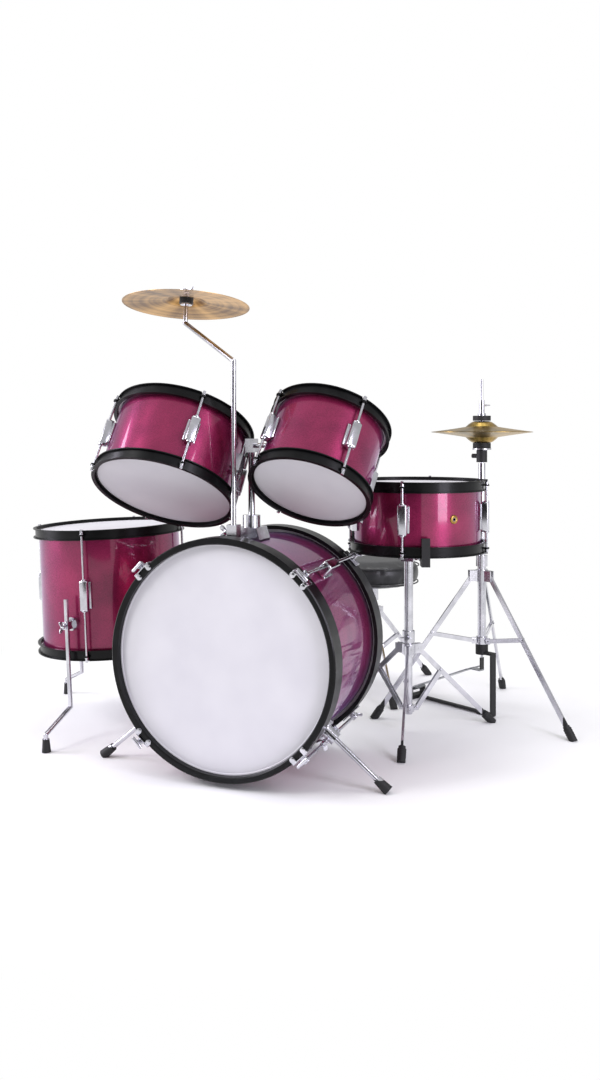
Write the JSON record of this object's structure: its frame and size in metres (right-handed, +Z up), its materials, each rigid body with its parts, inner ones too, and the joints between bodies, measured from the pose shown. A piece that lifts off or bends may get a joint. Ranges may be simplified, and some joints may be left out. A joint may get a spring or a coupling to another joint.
{
  "type": "acoustic drum kit",
  "caption": "Small acoustic drum kit: bass drum with two mounted toms, floor tom, snare on stand, hi-hat, crash cymbal, throne and bass pedal",
  "frame": {"origin": "centre of the kit's footprint, on the floor", "axes": "+X to the left of a player seated at the kit, which is the right seen from the audience; +Y from the audience towards the player; +Z up"},
  "size_m": [1.2062, 1.0139, 0.9282],
  "materials": {
    "shell": "metallic wine wrap",
    "hoop": "gloss black",
    "head": "coated white film",
    "chrome": "polished",
    "steel": "plated",
    "cymbal_bronze": "lathed bronze",
    "felt": "felt",
    "vinyl": "padded black vinyl"
  },
  "bodies": {
    "kit": {"bass_shell": "shell", "bass_hoops": "hoop", "bass_heads": "head", "fixed_lugs": "chrome", "bass_claws": "chrome", "bass_rods": "chrome", "shell_brackets": "chrome", "wing_bolts": "chrome", "mount_base": "chrome", "floor_shell": "shell", "floor_hoops": "hoop", "floor_heads": "head", "floor_rods": "chrome", "snare_stand_base": "chrome", "snare_stand_legs": "chrome", "hihat_stand": "chrome", "hihat_legs": "chrome", "hihat_seat": "felt", "throne_base": "chrome", "pedal_frame": "steel"},
    "spur_left": {"spur_left": "chrome"},
    "spur_right": {"spur_right": "chrome"},
    "tom_post": {"tom_post": "chrome"},
    "arm_left": {"tom_arm_left": "chrome"},
    "arm_right": {"tom_arm_right": "chrome"},
    "tom_left": {"tom_left_shell": "shell", "tom_left_hoops": "hoop", "tom_left_heads": "head", "tom_left_lugs": "chrome", "tom_left_rods": "chrome", "tom_left_bracket": "chrome"},
    "tom_right": {"tom_right_shell": "shell", "tom_right_hoops": "hoop", "tom_right_heads": "head", "tom_right_lugs": "chrome", "tom_right_rods": "chrome", "tom_right_bracket": "chrome"},
    "crash_rod": {"crash_rod": "chrome", "crash_felts": "felt"},
    "crash_cymbal": {"crash_cymbal": "cymbal_bronze"},
    "crash_wing_nut": {"crash_wing_nut": "chrome"},
    "floor_legs": {"floor_legs": "chrome"},
    "snare_stand_tube": {"snare_stand_tube": "chrome"},
    "snare_basket": {"snare_basket": "chrome"},
    "snare": {"snare_shell": "shell", "snare_hoops": "hoop", "snare_heads": "head", "snare_lugs": "chrome", "snare_rods": "chrome", "snare_strainer": "chrome", "snare_wires": "chrome"},
    "snare_lever": {"snare_lever": "chrome"},
    "hihat_pull": {"hihat_pull_rod": "chrome", "hihat_strap": "felt"},
    "hihat_cymbal_top": {"hihat_cymbal_top": "cymbal_bronze"},
    "hihat_cymbal_bottom": {"hihat_cymbal_bottom": "cymbal_bronze"},
    "hihat_footboard": {"hihat_footboard": "steel"},
    "throne_seat": {"throne_seat": "vinyl"},
    "pedal_footboard": {"pedal_footboard": "steel"},
    "pedal_beater": {"pedal_beater": "steel"}
  },
  "joints": [
    {"name": "spur_left_slide", "type": "slide", "parent": "kit", "child": "spur_left", "axis": [0.7716, 0, 0.6361], "range_m": [0, 0.085]},
    {"name": "spur_right_slide", "type": "slide", "parent": "kit", "child": "spur_right", "axis": [-0.7716, 0, 0.6361], "range_m": [0, 0.085]},
    {"name": "tom_post_slide", "type": "slide", "parent": "kit", "child": "tom_post", "axis": [0, 0, 1], "range_m": [0, 0.04]},
    {"name": "tom_left_tilt", "type": "hinge", "parent": "tom_post", "child": "arm_left", "pos_m": [0.035, -0.3252, 0.609], "axis": [1, 0, 0], "range_deg": [-10, 10]},
    {"name": "tom_left_swivel", "type": "hinge", "parent": "arm_left", "child": "tom_left", "pos_m": [0.01954, -0.34557, 0.57551], "axis": [0.0363, 0.5197, 0.8536], "range_deg": [-8, 8]},
    {"name": "tom_right_tilt", "type": "hinge", "parent": "tom_post", "child": "arm_right", "pos_m": [0.035, -0.3252, 0.609], "axis": [1, 0, 0], "range_deg": [-10, 10]},
    {"name": "tom_right_swivel", "type": "hinge", "parent": "arm_right", "child": "tom_right", "pos_m": [0.06998, -0.33581, 0.58838], "axis": [0.081, 0.5765, 0.8131], "range_deg": [-8, 8]},
    {"name": "crash_rod_swivel", "type": "hinge", "parent": "kit", "child": "crash_rod", "pos_m": [0.031, -0.4002, 0.45], "axis": [0, 0, 1], "range_deg": [-25, 25]},
    {"name": "crash_cymbal_spin", "type": "hinge", "parent": "crash_rod", "child": "crash_cymbal", "pos_m": [-0.127, -0.2792, 0.888], "axis": [0, 0.1132, 0.9936], "continuous": true},
    {"name": "crash_wing_nut_turn", "type": "hinge", "parent": "crash_rod", "child": "crash_wing_nut", "pos_m": [-0.127, -0.2792, 0.888], "axis": [0, 0.1132, 0.9936], "continuous": true},
    {"name": "floor_legs_slide", "type": "slide", "parent": "kit", "child": "floor_legs", "axis": [-0.0409, -0.0151, 0.999], "range_m": [0, 0.05]},
    {"name": "snare_height_slide", "type": "slide", "parent": "kit", "child": "snare_stand_tube", "axis": [0, 0, 1], "range_m": [0, 0.06]},
    {"name": "snare_basket_tilt", "type": "hinge", "parent": "snare_stand_tube", "child": "snare_basket", "pos_m": [0.261, -0.0072, 0.373], "axis": [1, 0, 0], "range_deg": [-10, 0]},
    {"name": "snare_lift_out", "type": "slide", "parent": "snare_basket", "child": "snare", "axis": [0, 0, 1], "range_m": [0, 0.1]},
    {"name": "snare_lever_swing", "type": "hinge", "parent": "snare", "child": "snare_lever", "pos_m": [0.42393, -0.02827, 0.475], "axis": [0.4384, -0.8988, 0], "range_deg": [0, 80]},
    {"name": "hihat_pull_slide", "type": "slide", "parent": "kit", "child": "hihat_pull", "axis": [0, 0, 1], "range_m": [0, 0.02]},
    {"name": "hihat_top_spin", "type": "hinge", "parent": "hihat_pull", "child": "hihat_cymbal_top", "pos_m": [0.384, 0.1778, 0.64], "axis": [0, 0, 1], "continuous": true},
    {"name": "hihat_bottom_spin", "type": "hinge", "parent": "kit", "child": "hihat_cymbal_bottom", "pos_m": [0.384, 0.1778, 0.63], "axis": [0, 0, 1], "continuous": true},
    {"name": "hihat_footboard_swing", "type": "hinge", "parent": "kit", "child": "hihat_footboard", "pos_m": [0.21071, 0.2715, 0.022], "axis": [-0.4756, -0.8796, 0], "range_deg": [0, 5.9]},
    {"name": "throne_seat_spin", "type": "hinge", "parent": "kit", "child": "throne_seat", "pos_m": [0.087, 0.3228, 0.27], "axis": [0, 0, 1], "continuous": true},
    {"name": "pedal_footboard_press", "type": "hinge", "parent": "kit", "child": "pedal_footboard", "pos_m": [0.029, 0.0198, 0.019], "axis": [1, 0, 0], "range_deg": [0, 5]},
    {"name": "pedal_beater_swing", "type": "hinge", "parent": "kit", "child": "pedal_beater", "pos_m": [0.029, -0.1292, 0.172], "axis": [1, 0, 0], "range_deg": [0, 43.5]}
  ],
  "couplings": [
    {"joint": "hihat_footboard_swing", "follows": "hihat_pull_slide", "rad_per_m": 5.0761},
    {"joint": "pedal_beater_swing", "follows": "pedal_footboard_press", "ratio": 8.6}
  ]
}
